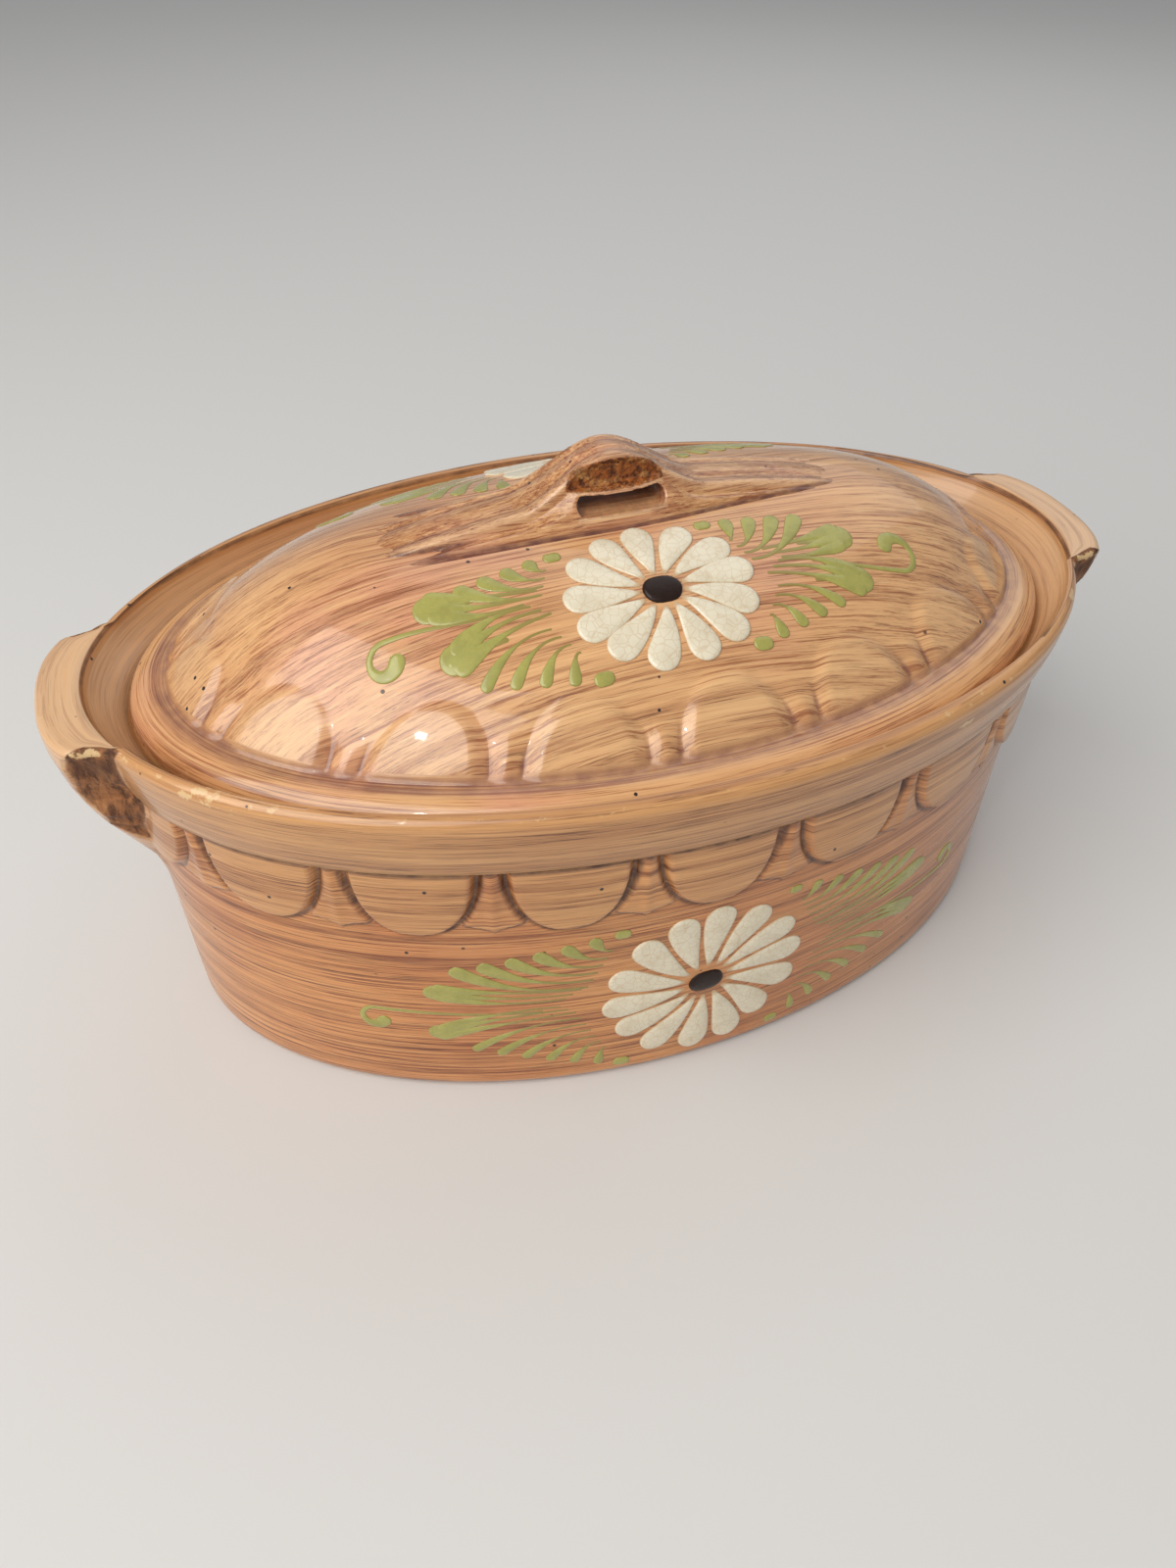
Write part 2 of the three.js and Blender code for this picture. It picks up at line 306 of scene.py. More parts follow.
def lug_offset(angle, z):
    """How far out a lug stands from the wall's oval along its normal, and how much of it is side face."""
    wall = wall_oval(z)
    px, py = wall[0] * np.cos(angle), wall[1] * np.sin(angle)
    nx, ny = oval_normal(wall, angle)
    outer = np.interp(z, LUG_LEVELS, LUG_OUTERS)
    half = np.interp(z, LUG_LEVELS, LUG_WIDTHS)
    scoop = 3.2 * bell((z - 136) / 13) + 1.5 * bell((z - 110) / 14) + 0.8 * np.sin(z * 0.35)

    def room(t):
        x, y = np.abs(px + t * nx), np.abs(py + t * ny)
        front = outer - LUG_CORNER_REACH * (1 - np.sqrt(np.clip(1 - (y / half) ** 2.4, 0, 1))) - x
        side = half * LUG_SIDE - 0.3 * (x - wall[0] - 2) - scoop - y
        return front, side

    low, high = np.full(px.shape, -6.0), np.full(px.shape, 45.0)
    for _ in range(26):
        middle = (low + high) / 2
        inside = np.minimum(*room(middle)) > 0
        low, high = np.where(inside, middle, low), np.where(inside, high, middle)
    front, side = room(low)
    return low, smooth((front - side) / 1.5)


def wall_oval(z):
    """The pot's plain outside at height z, as arrays (half-length, half-width)."""
    t = np.clip(np.asarray(z, float) / BAND_LOW, 0, 1)
    return np.stack([FOOT[i] + (SHOULDER[i] - FOOT[i]) * t for i in (0, 1)])


def off_wall(angle, z, out):
    """The x and y of points at a distance out from the pot's plain wall."""
    wall = wall_oval(z)
    normal = oval_normal(wall, angle)
    return wall[0] * np.cos(angle) + normal[0] * out, wall[1] * np.sin(angle) + normal[1] * out


def soft_max(a, b, blend):
    """The larger of two heights, with the crease between them filled over a width of blend."""
    h = np.clip(0.5 + 0.5 * (a - b) / blend, 0, 1)
    return b + (a - b) * h + blend * h * (1 - h)


# ---- pot

# Where the glaze has flaked off the front of the rim: x, height, half-length and half-height.
CHIPS = ((-164.0, 153.5, 9.0, 3.0), (97.0, 146.0, 6.0, 2.4), (171.0, 155.5, 6.0, 1.6))


def outside_profile():
    """Heights of the plain outside, and how far it stands out from the wall's oval, from foot to rim."""
    turn = np.linspace(-PI / 2, 0, 7)
    foot = [(FOOT_ROUND * (1 + math.sin(a)), -FOOT_ROUND * (1 - math.cos(a))) for a in turn]
    wall = [(z, 0.0) for z in np.linspace(9, BAND_LOW - 37, 9)]
    frieze = [(z, 0.0) for z in np.linspace(BAND_LOW - 36, BAND_LOW - 0.8, 38)]
    band_foot = float(BAND_FOOT[0] - SHOULDER[0])
    band_head = float(RIM[0] - SHOULDER[0])
    lip = [(BAND_LOW - 0.45, 1.6), (BAND_LOW - 0.3, band_foot - 1.2), (BAND_LOW + 0.2, band_foot - 0.2)]
    face = []
    for t in np.linspace(0.05, 1, 9):
        z = BAND_LOW + 1.0 + (RIM_TOP - RIM_ROUND - BAND_LOW - 1.0) * t
        face.append((z, band_foot + (band_head - band_foot) * t + 0.7 * math.sin(PI * t)))
    for a in np.linspace(0.25, PI / 2, 6):
        face.append((RIM_TOP - RIM_ROUND * (1 - math.sin(a)), band_head - RIM_ROUND * (1 - math.cos(a))))
    return np.array(foot + wall + frieze + lip + face)


def clay_roughness(shape):
    """Smoothed random bumps over a grid of rows and wrapped columns."""
    rough = rng.normal(size=shape)
    for _ in range(8):
        rough = (2 * rough + np.roll(rough, 1, 1) + np.roll(rough, -1, 1) + np.roll(rough, 1, 0) * 2) / 6
    return rough


def pot_underside(angle):
    """The unglazed flat under the pot, from its middle out towards the foot."""
    rows = [new_row(np.zeros((1, 3)), 0)]
    for share in (0.35, 0.7, 0.93):
        rows.append(new_row(oval_points(FOOT * share, angle[::4], 0.0), 60 * share))
    rows.append(new_row(oval_points(FOOT - 8, angle, 0.0), 80))
    return rows


def pot_outside(angle, along, around, rim_wave):
    """The outside from the foot to the rim's top, and how much of its last row is lug."""
    profile = outside_profile()
    z = profile[:, :1] + 0 * angle
    plain = profile[:, 1:] + 0 * angle
    relief, stain_and_shade, pale = frieze_relief(along + 0 * z, BAND_LOW - z, around / LOBES)
    on_wall = z < BAND_LOW - 0.5
    line = bell((z - (BAND_LOW - 38.5)) / 0.9)
    # Painted shadow: a dark line just under the rim band, put into the stain value.
    painted_shadow_under_band = bell((z - BAND_LOW + 1.2) / 1.5)
    near_foot = smooth((20 - z) / 20)
    offset = plain + relief * on_wall - 0.3 * line
    # The stain value here gathers the frieze's stains and painted shadow, the incised line, the painted
    # shadow under the band and the darkening near the foot.
    stain_and_shade = np.maximum.reduce([stain_and_shade * on_wall, 0.3 * line, 0.9 * painted_shadow_under_band, 0.25 * near_foot])
    tone = np.where(on_wall, 0.15 + 0.6 * pale, 0.85) * smooth((z - 20) / 60)

    lug, side = lug_offset(angle, z)
    turn = 3.5  # radius of the lug's top edge
    rounding = np.clip(z - (RIM_TOP - turn), 0, turn)
    lug = lug - turn + np.sqrt(np.maximum(turn**2 - rounding**2, 0))
    is_lug = smooth((lug - offset + 1.0) / 2.5)
    side = side * is_lug
    offset = soft_max(lug, offset, 2.0) + side * clay_roughness(offset.shape) * 4.5
    offset += wobble(angle, z, 0.5) * smooth(z / 20)
    crease = bell((is_lug - 0.5) / 0.3) * (z < RIM_TOP - 5)
    under_top = 0.5 * side * bell((z - RIM_TOP + 9) / 6)
    stain_and_shade = np.clip(stain_and_shade * (1 - is_lug) + 0.4 * side + 0.45 * crease + under_top, 0, 1)
    tone = np.maximum(tone, is_lug * (0.8 + 0.8 * smooth((z - RIM_TOP + 14) / 8)))

    px, py = off_wall(angle, z, offset)
    pz = z + rim_wave * smooth((z - BAND_LOW - 8) / 20)
    lug_corner = bell((z - (RIM_TOP - 1.5)) / 2.0) * bell((np.abs(py) - 36) / 6) * is_lug * (py < 0)
    wear = 0.3 * lug_corner + 0.24 * bell((z - (RIM_TOP - 1.2)) / 1.8)
    for x, height, long, high in CHIPS:
        chip = bell(np.hypot((px - x) / long, (z - height) / high)) * (py < 0)
        wear = np.maximum(wear, 0.68 * chip)
    points = np.stack([px, py, pz], 2)
    marks = zip(points, profile[:, 0], stain_and_shade, side, wear, tone)
    return [new_row(*row) for row in marks], is_lug[-1]


def pot_rim(angle, outer_edge, rim_wave, is_lug):
    """The rim's level top and the hollow slope inside it, down to the ledge."""
    inner_oval = RIM_INNER + 1.2
    inner_edge = oval_points(inner_oval, angle, RIM_TOP + rim_wave)
    x, _, long, _ = CHIPS[0]
    rows = []
    for t in (0.2, 0.4, 0.6, 0.8, 1.0):
        points = outer_edge + (inner_edge - outer_edge) * t
        chipped = bell((points[:, 0] - x - 6) / long) * (points[:, 1] < 0)
        tone = 0.8 + 0.8 * is_lug
        rows.append(new_row(points, RIM_TOP + 8 * t, wear=0.6 * chipped * (1 - t), tone=tone))
    for below, inset in ((0.5, 0.4), (1.4, 1.0), (2.6, 1.35)):
        points = oval_points(inner_oval - inset, angle, RIM_TOP - below + rim_wave)
        rows.append(new_row(points, RIM_TOP + 9 + below, 0.75 * bell(below - 1.0), tone=0.8))
    for t in np.linspace(0.12, 1.0, 8):
        hollow = 0.9 * math.sin(PI * t)
        oval = (RIM_INNER - 0.15) * (1 - t) + LEDGE_OUTER * t + hollow
        z = (RIM_TOP - 2.6) * (1 - t) + (LEDGE + 1.5) * t + rim_wave * (1 - t)
        stain_and_shade = 0.4 * smooth((t - 0.7) / 0.3)
        # tone=1.45 is painted light: the whole inner slope is made paler to stand in for the light on its lit
        # side.
        rows.append(new_row(oval_points(oval, angle, z), RIM_TOP + 13 + 16 * t, stain_and_shade, tone=1.45))
    return rows


def pot_inside(angle):
    """The ledge and the cavity, down to the middle of its floor."""
    rings = [
        (LEDGE_OUTER - 1.2, LEDGE + 0.2, LEDGE + 200.2),
        (LEDGE_OUTER - 4, LEDGE, LEDGE + 200),
        (LEDGE_INNER + 1.5, LEDGE, LEDGE + 200),
        (LEDGE_INNER + 0.4, LEDGE - 0.5, 210),
        (LEDGE_INNER, LEDGE - 2, 212),
    ]
    for t in np.linspace(0, 1, 12):
        z = (LEDGE - 8) * (1 - t) + (FLOOR + CAVITY_ROUND) * t
        rings.append((CAVITY_MOUTH * (1 - t) + CAVITY_FOOT * t, z, 220 + z))
    for a in np.linspace(0, PI / 2, 7)[1:]:
        z = FLOOR + CAVITY_ROUND * (1 - math.sin(a))
        rings.append((CAVITY_FOOT - CAVITY_ROUND * (1 - math.cos(a)), z, 330 + 20 * a))
    for share in (0.85, 0.6, 0.35, 0.12):
        rings.append(((CAVITY_FOOT - CAVITY_ROUND) * share, FLOOR, 400 + 100 * share))
    rows = [new_row(oval_points(oval, angle, z), across) for oval, z, across in rings]
    return [*rows, new_row(np.array([[0, 0, FLOOR]]), 400)]


def pot_rows():
    """The pot's rows, and the material of the faces above each: 0 glaze, 1 cavity glaze, 2 clay."""
    angle, along, around = even_angles(SHOULDER, FINE)
    rim_wave = wobble(angle, RIM_TILT, 0.5)
    under = pot_underside(angle)
    outside, is_lug = pot_outside(angle, along, around, rim_wave)
    outside += pot_rim(angle, outside[-1][:, :3], rim_wave, is_lug)
    inside = pot_inside(angle[::4])
    materials = [2] * (len(under) - 1) + [0] * (len(outside) + 1) + [1] * len(inside)
    return under + outside + inside, materials


# ---- lid


def dome_height(inset):
    """Height of the dome's outside at a distance in from the lid's edge."""
    side = np.clip((inset - BRIM) / (LID[1] - BRIM), 0, 1)
    return BRIM_TOP + (CREST - BRIM_TOP) * (1 - (1 - side) ** 2.5)


def lid_ring(inset):
    """The oval at a distance in from the edge. Past CROWN the ovals shrink to the middle."""
    shrink = np.clip((LID[1] - inset) / (LID[1] - CROWN), 0, 1)
    return np.where(inset <= CROWN, LID - inset, (LID - CROWN) * shrink)


def dome_surface(x, y):
    """Height of the lid's outside over points (x, y)."""
    low, high = np.zeros(np.shape(x)), np.full(np.shape(x), CROWN)
    for _ in range(30):
        middle = (low + high) / 2
        within = (x / (LID[0] - middle)) ** 2 + (y / (LID[1] - middle)) ** 2 < 1
        low, high = np.where(within, middle, low), np.where(within, high, middle)
    crown = LID - CROWN
    inner = np.hypot(x / crown[0], y / crown[1])
    inset = np.where(inner < 1, LID[1] - (LID[1] - CROWN) * inner, low)
    return dome_height(inset)


def normals_of(grid):
    """Outward unit normals of a grid of rows and wrapped columns, by differences."""
    along = np.roll(grid, -1, 1) - np.roll(grid, 1, 1)
    up = np.gradient(grid, axis=0)
    normal = np.cross(along, up)
    return normal / np.maximum(np.linalg.norm(normal, axis=2, keepdims=True), 1e-9)


def brim_height(inset):
    """The brim's rounded top: upright at the lid's edge, almost level where the dome starts."""
    share = 1 - (1 - inset / BRIM) ** 2.3
    low = LID_LOW + 2.6
    return float(low + (BRIM_TOP - low) * share**0.5)


def lid_underside(angle):
    """The lid's hollow, from its middle down to the rest."""
    wall = 6.0
    rows = [new_row(np.array([[0, 0, CREST - wall]]), 0)]
    for inset in np.concatenate([np.linspace(LID[1] - 6, CROWN, 5), np.linspace(CROWN - 9, BRIM + 8, 9)]):
        ring = lid_ring(inset) - wall * 0.4
        rows.append(new_row(oval_points(ring, angle, dome_height(inset + 1.5) - wall), inset))
    for inset, rise in ((BRIM + 6.5, 6), (BRIM + 3, 2.2), (BRIM + 0.8, 0.3)):
        rows.append(new_row(oval_points(LID - inset, angle, LID_LOW + rise), inset))
    return rows


def lid_outside(angle, along, around):
    """The brim, the fold inside it and the dome's side with its moulded pads."""
    edge = [(1.0, LID_LOW + 0.3), (0.3, LID_LOW + 1.1), (0.0, LID_LOW + 2.0)]
    edge += [(d, brim_height(d)) for d in (0.0, 0.06, 0.25, 0.6)]
    brim = [(d, brim_height(d)) for d in np.linspace(1.1, BRIM - 0.8, 12)]
    dome = [(d, float(dome_height(d))) for d in np.linspace(BRIM, 44, 29)]
    profile = np.array(edge + brim + dome)
    inset = profile[:, :1] + 0 * angle
    z = profile[:, 1:] + 0 * angle
    grid = np.stack([(LID[0] - inset) * np.cos(angle), (LID[1] - inset) * np.sin(angle), z], 2)

    rise = np.hypot(inset - BRIM, z - BRIM_TOP)
    shrink = (LID[0] + LID[1] - 2 * inset) / (LID[0] + LID[1])
    period = around / PADS * shrink
    arch, stain_and_shade, pale = arch_relief(along * shrink - PAD_SHIFT * period, rise, period)
    on_dome = smooth((inset - BRIM + 0.5) / 1.5)
    fold = bell((inset - BRIM + 0.3) / 2.4)
    sunk = 0.8 * smooth((31 - rise) / 9)
    height = (arch - sunk) * on_dome - 0.4 * fold + wobble(angle, inset, 0.25)
    grid = grid + normals_of(grid) * height[..., None]
    brushed = 0.55 * bell((inset - BRIM + 3.0) / 4.0)
    stain_and_shade = np.clip(np.maximum.reduce([stain_and_shade * on_dome, 0.7 * fold, brushed]), 0, 1)
    tone = 0.5 * pale * on_dome
    wear = 0.2 * bell((inset - 1.0) / 1.2) * (z > LID_LOW + 3)

    rows = []
    for i, from_edge in enumerate(profile[:, 0]):
        row = new_row(grid[i], from_edge, stain_and_shade[i], 0.0, wear[i], tone[i])
        lengthwise(row, smooth((from_edge - BRIM) / 2.0))
        rows.append(row)
    return rows


def lid_crown(angle):
    """The plain top of the dome."""
    rows = []
    for inset in np.concatenate([np.linspace(46, CROWN, 12), np.linspace(CROWN + 4, LID[1] - 1.5, 7)]):
        row = new_row(oval_points(lid_ring(inset), angle, float(dome_height(inset))), inset)
        row[:, Z] += wobble(angle, inset, 0.25) * smooth((LID[1] - inset) / 40)
        rows.append(row)
    rows.append(new_row(np.array([[0, 0, float(dome_height(LID[1]))]]), 0))
    for row in rows:
        lengthwise(row, 1.0)
    return rows


def lid_rows():
    """The lid's rows, and the material of the faces above each: 0 glaze, 1 cavity glaze, 2 clay."""
    angle, along, around = even_angles(LID, FINE)
    slow = angle[::4]
    hollow = lid_underside(slow)
    rest = [new_row(oval_points(LID - 7, slow, LID_LOW), 7)]
    rest.append(new_row(oval_points(LID - 2.2, angle, LID_LOW), 2))
    outside = lid_outside(angle, along, around) + lid_crown(slow)
    materials = [1] * (len(hollow) - 1) + [2] * len(rest) + [0] * (len(outside) + 1)
    return hollow + rest + outside, materials


def lengthwise(row, share):
    """Turns a row's brush marks to run along the pot instead of round it."""
    turned = np.stack([row[:, X] * ALONG_GRAIN + 40, row[:, Y], row[:, Z] * 0.12], 1)
    row[:, GRAIN_X : GRAIN_Z + 1] = row[:, GRAIN_X : GRAIN_Z + 1] * (1 - share) + turned * share


# ---- handle

STRAP_TOP = STRAP_PEAK - 15.0
HUMP_X = -3.0
HUMP_HALF = 38.0
SLOT_X = (-18.5, 15.0)
SLOT_Z = (200.1, 206.3)
SLOT_RADIUS = (SLOT_Z[1] - SLOT_Z[0]) / 2
SLOT_MIDDLE = (sum(SLOT_X) / 2, sum(SLOT_Z) / 2)
SLOT_STRAIGHT = (SLOT_X[1] - SLOT_X[0]) / 2 - SLOT_RADIUS  # from its middle to where an end turns
PANEL_X, PANEL_HALF = -3.0, 18.5
PANEL_LOW, PANEL_RISE = 207.7, 9.4


def strap_height(x):
    across = np.clip(np.abs(x - HUMP_X) / HUMP_HALF, 0, 1)
    return STRAP_TOP - 0.0013 * x * x + 14.8 * np.cos(PI / 2 * across) ** 2


def strap_half_width(top):
    """Half the width of the strap's top, which narrows as it climbs the hump."""
    return 10.2 - 2.4 * smooth((top - STRAP_TOP + 2) / 13)


def slot_flare(y):
    return 1 + 0.1 * smooth((np.abs(y) - 11) / 8)


def loft_along(name, sections):
    """Closed sections of equal point count joined end to end into one closed mesh, facing outwards."""
    count = len(sections[0])
    faces = []
    for i in range(len(sections) - 1):
        for j in range(count):
            a, b = i * count + j, i * count + (j + 1) % count
            faces.append((a, b, b + count, a + count))
    last = (len(sections) - 1) * count
    faces.append(tuple(range(count))[::-1])
    faces.append(tuple(range(last, last + count)))
    piece = mesh_object(name, np.concatenate(sections), faces, [])
    shape = bmesh.new()
    shape.from_mesh(piece.data)
    bmesh.ops.recalc_face_normals(shape, faces=shape.faces)
    shape.to_mesh(piece.data)
    shape.free()
    return piece


def strap_section(x):
    """The strap cut across at x: slanted sides that sweep out into the dome, and a rolled edge on top."""
    end = np.clip((STRAP_END - abs(x)) / 5.0, 0, 1)
    nose = math.sqrt(1 - (1 - end) ** 2)
    top = strap_height(x)
    head = float(strap_half_width(top)) * (0.9 + 0.1 * nose)
    foot = (20.5 - 7.5 * float(smooth(x / 95))) * (0.93 + 0.07 * nose)
    low = 184.0  # inside the dome's wall
    crest, dome = dome_surface(np.array([x, x]), np.array([0.0, foot]))
    top = crest + (top - crest) * (0.45 + 0.55 * nose)
    mid = (top + dome) / 2
    side = [(foot + 5.0, low), (foot + 2.6, dome - 3.6), (foot, dome - 0.4)]
    side += [((foot + head) / 2 + 1.2, mid - 0.6), (head + 2.0, top - 4.4)]
    bead = ((1.9, 2.8), (1.3, 1.2), (-0.2, 0.3), (-1.8, 0.4), (-3.2, 1.1), (-5.0, 0.9), (-7.5, 0.1))
    right = side + [(head + out, top - down) for out, down in bead]
    left = [(-y, z) for y, z in reversed(right)]
    return np.array([(x, y, z) for y, z in right + [(0, top)] + left])


def slot_cutter():
    """The finger slot: a rounded-end hole from front to back, flared where it comes out."""
    middle_x, middle_z = SLOT_MIDDLE
    sections = []
    for y in np.linspace(-30, 30, 27):
        radius = SLOT_RADIUS * slot_flare(y)
        ring = []
        for k in range(32):
            a = 2 * PI * (k + 0.5) / 32
            centre = middle_x + math.copysign(SLOT_STRAIGHT, math.cos(a))
            ring.append((centre + radius * math.cos(a), y, middle_z + radius * math.sin(a)))
        sections.append(np.array(ring))
    return loft_along("slot_cutter", sections)


def panel_cutter(side):
    """The shallow arched panel scooped out of the hump's side above the slot, a rounded bowl."""
    sections = []
    for t in np.linspace(0, 1, 9):
        y = side * (7.9 + 13 * t)
        size = 0.88 + 0.16 * math.sqrt(t) + 0.06 * t
        ring = []
        for k in range(48):
            a = 2 * PI * k / 48
            z = PANEL_LOW + (PANEL_RISE * size if math.sin(a) > 0 else 0.2) * math.sin(a)
            ring.append((PANEL_X + PANEL_HALF * size * math.cos(a), y, z))
        sections.append(np.array(ring))
    return loft_along("panel_cutter", sections)


def build_handle(materials):
    xs = np.concatenate([
        -STRAP_END + np.array([0, 0.4, 1.2, 2.4, 4.0]),
        np.linspace(-STRAP_END + 6, STRAP_END - 6, 100),
        STRAP_END - np.array([4.0, 2.4, 1.2, 0.4, 0]),
    ])
    strap = loft_along("strap", [strap_section(x) for x in xs])
    cutters = [slot_cutter(), panel_cutter(-1), panel_cutter(1)]
    for cutter in cutters:
        cut = strap.modifiers.new("cut", "BOOLEAN")
        cut.operation = "DIFFERENCE"
        cut.solver = "EXACT"
        cut.object = cutter
    remesh = strap.modifiers.new("remesh", "REMESH")
    remesh.mode = "VOXEL"
    remesh.voxel_size = 0.62 * MM
    relax = strap.modifiers.new("relax", "CORRECTIVE_SMOOTH")
    relax.smooth_type = "SIMPLE"
    relax.iterations = 7
    relax.use_only_smooth = True
    graph = bpy.context.evaluated_depsgraph_get()
    mesh = bpy.data.meshes.new_from_object(strap.evaluated_get(graph))
    for spare in (strap, *cutters):
        bpy.data.objects.remove(spare)
    mesh.name = "lid_strap"
    mesh.shade_smooth()
    mesh.materials.clear()
    for material in materials:
        mesh.materials.append(material)
    finish_handle(mesh)
    return linked("lid_strap", mesh)


def finish_handle(mesh):
    """Roughens the scooped panels, marks where the handle's glaze is stained, raw or worn, and paints shade
    inside the finger slot and a highlight along its lower edge.
    """
    count = len(mesh.vertices)
    co = np.zeros(count * 3)
    normal = np.zeros(count * 3)
    mesh.vertices.foreach_get("co", co)
    mesh.vertices.foreach_get("normal", normal)
    co, normal = co.reshape(-1, 3) / MM, normal.reshape(-1, 3)
    x, y, z = co.T
    reach = np.hypot((x - PANEL_X) / PANEL_HALF, (z - PANEL_LOW) / PANEL_RISE)
    panel = smooth((1.06 - reach) / 0.12) * smooth((z - PANEL_LOW + 0.9) / 0.6) * (np.abs(y) > 6)
    from_middle = np.abs(x - SLOT_MIDDLE[0])
    reach = np.hypot(np.clip(from_middle - SLOT_STRAIGHT, 0, None), z - SLOT_MIDDLE[1])
    slot = (reach < SLOT_RADIUS * slot_flare(y) + 0.3) & (np.abs(y) < 18.5)
    panel = panel * ~slot
    co += normal * (panel * rng.normal(size=count) * 0.14)[:, None]
    mesh.vertices.foreach_set("co", (co * MM).ravel())
    above = z - dome_surface(x, y)
    foot = 0.85 * bell((above - 0.4) / 1.2) * smooth((np.abs(y) - 8) / 4)
    nose = 0.6 * smooth((np.abs(normal[:, 0]) - 0.55) / 0.3) * (STRAP_END - np.abs(x) < 4)
    top = strap_height(x)
    edge_y = strap_half_width(top) + 0.2
    groove = 0.6 * bell((np.abs(y) - edge_y + 4.2) / 0.9) * (top - z < 2.5)
    edge = bell((top - z - 1.4) / 1.8) * bell((np.abs(y) - edge_y) / 2.2)
    on_side = np.abs(y) > 7
    bead = bell((z - (SLOT_Z[1] + PANEL_LOW) / 2) / 0.7) * on_side * (np.abs(x - PANEL_X) < PANEL_HALF)
    # lip is a painted highlight: the slot's lower edge made paler through the stain and tone values below.
    lip = bell((z - SLOT_Z[0] + 0.6) / 0.6) * on_side * (from_middle < PANEL_HALF - 1)
    grain = np.stack([x * ALONG_GRAIN + 90, y, z], 1)
    set_attribute(mesh, "grain", grain * MM)
    # In the finger slot, 0.55 * slot darkens the whole inside as painted shade; subtracting lip lightens the
    # slot's lower edge as a painted highlight.
    stain_and_shade = np.maximum.reduce([foot, nose, groove, 0.55 * slot]) - bead - lip
    set_attribute(mesh, "stain_and_shade", np.clip(stain_and_shade, 0, 1))
    set_attribute(mesh, "raw", np.maximum(panel, 0.35 * slot) * (1 - 0.8 * bead))
    set_attribute(mesh, "wear", 0.2 * edge * (1 - panel))
    # 1.4 * lip paints the highlight along the slot's lower edge.
    set_attribute(mesh, "tone", np.maximum.reduce([edge * (1 - panel), 0.7 * bead, 1.4 * lip]))


# ---- slip decoration

FLOWER_Z = 48.0  # the middle of the pot's flower, above the table
FLOWER_Y = 51.0  # the middle of the lid's flower, out from the lid's middle


def on_pot(side):
    """Maps (u, v) in mm beside a flower's middle to points on the pot's wall. side is -1 for the front."""
    angle, along, around = even_angles(SHOULDER, 4096)
    along = np.append(along, around)
    angle = np.append(angle, 1.5 * PI)

    def place(u, v, lift):
        a = np.interp(u % around, along, angle)
        z = FLOWER_Z + v
        x, y = off_wall(a, z, lift + wobble(a, z, 0.5) * smooth(z / 20))
        return np.stack([-side * x, -side * y, z], -1)

    return place


def on_lid(side):
    """Maps (u, v) in mm beside a flower's middle to points on the lid's dome. side is -1 for the front."""
    ys = np.linspace(0, LID[1] - 16, 400)
    zs = dome_surface(0 * ys, ys)
    length = np.concatenate([[0], np.cumsum(np.hypot(np.diff(ys), np.diff(zs)))])
    start = np.interp(FLOWER_Y, ys, length)

    def place(u, v, lift):
        y = np.interp(start - v, length, ys)
        z = dome_surface(u, y)
        step = 0.5
        slope_x = (dome_surface(u + step, y) - z) / step
        slope_y = (dome_surface(u, y + step) - z) / step
        size = np.sqrt(1 + slope_x**2 + slope_y**2)
        x = u - slope_x / size * lift
        yy = y - slope_y / size * lift
        return np.stack([-side * x, side * yy, z + lift / size], -1)

    return place


def bezier(points, t):
    p = [np.asarray(q, float) for q in points]
    t = t[:, None]
    if len(p) == 3:
        return (1 - t) ** 2 * p[0] + 2 * (1 - t) * t * p[1] + t**2 * p[2]
    return (1 - t) ** 3 * p[0] + 3 * (1 - t) ** 2 * t * p[1] + 3 * (1 - t) * t**2 * p[2] + t**3 * p[3]


def stroke(path, radius, height):
    """The path in (u, v), half-widths, tangents and height of a trailed stroke, with round ends added."""
    path = np.asarray(path, float)
    radius = np.asarray(radius, float)
    tangent = np.gradient(path, axis=0)
    tangent /= np.maximum(np.linalg.norm(tangent, axis=1, keepdims=True), 1e-9)
    caps = []
    for at, way in ((0, -1), (-1, 1)):
        turn = np.linspace(0.25, 1.0, 5) * PI / 2
        spread = path[at] + way * tangent[at] * (radius[at] * np.sin(turn))[:, None]
        caps.append((spread, radius[at] * np.cos(turn) + 0.02, np.repeat(tangent[at][None], 5, 0)))
    head, tail = caps
    path = np.concatenate([head[0][::-1], path, tail[0]])
    radius = np.concatenate([head[1][::-1], radius, tail[1]])
    tangent = np.concatenate([head[2][::-1], tangent, tail[2]])
    return path, radius, tangent, height


def slip_mesh(name, strokes, place, material):
    """All the strokes of one slip as one mesh, each a closed low mound that follows the surface under it."""
    across = np.sin(np.linspace(-1, 1, 13) * PI / 2)
    crown = (1 - across**2) ** 0.5
    points, faces, thick = [], [], []
    start = 0
    for path, radius, tangent, height in strokes:
        half = radius[:, None]
        u = path[:, :1] - tangent[:, 1:] * half * across
        v = path[:, 1:] + tangent[:, :1] * half * across
        full = smooth(radius / (0.45 * radius.max()))[:, None]
        lift = height * crown * full * np.clip(half / 1.6, 0.35, 1)
        top = place(u, v, lift)
        base = place(u, v, np.full(u.shape, -0.6))
        ring = np.concatenate([top, base[:, -2:0:-1]], axis=1)
        points.append(ring.reshape(-1, 3))
        thick.append(np.concatenate([lift / height, 0 * lift[:, -2:0:-1]], axis=1).ravel())
        rows, n = ring.shape[:2]
        i, j = np.meshgrid(np.arange(rows - 1), np.arange(n), indexing="ij")
        a = start + i * n + j
        b = start + i * n + (j + 1) % n
        faces += np.stack([a, a + n, b + n, b], -1).reshape(-1, 4).tolist()
        last = start + (rows - 1) * n
        faces += [list(range(start, start + n)), list(range(last, last + n))[::-1]]
        start += rows * n
    piece = mesh_object(name, np.concatenate(points), faces, [material])
    set_attribute(piece.data, "thick", np.concatenate(thick))
    return piece


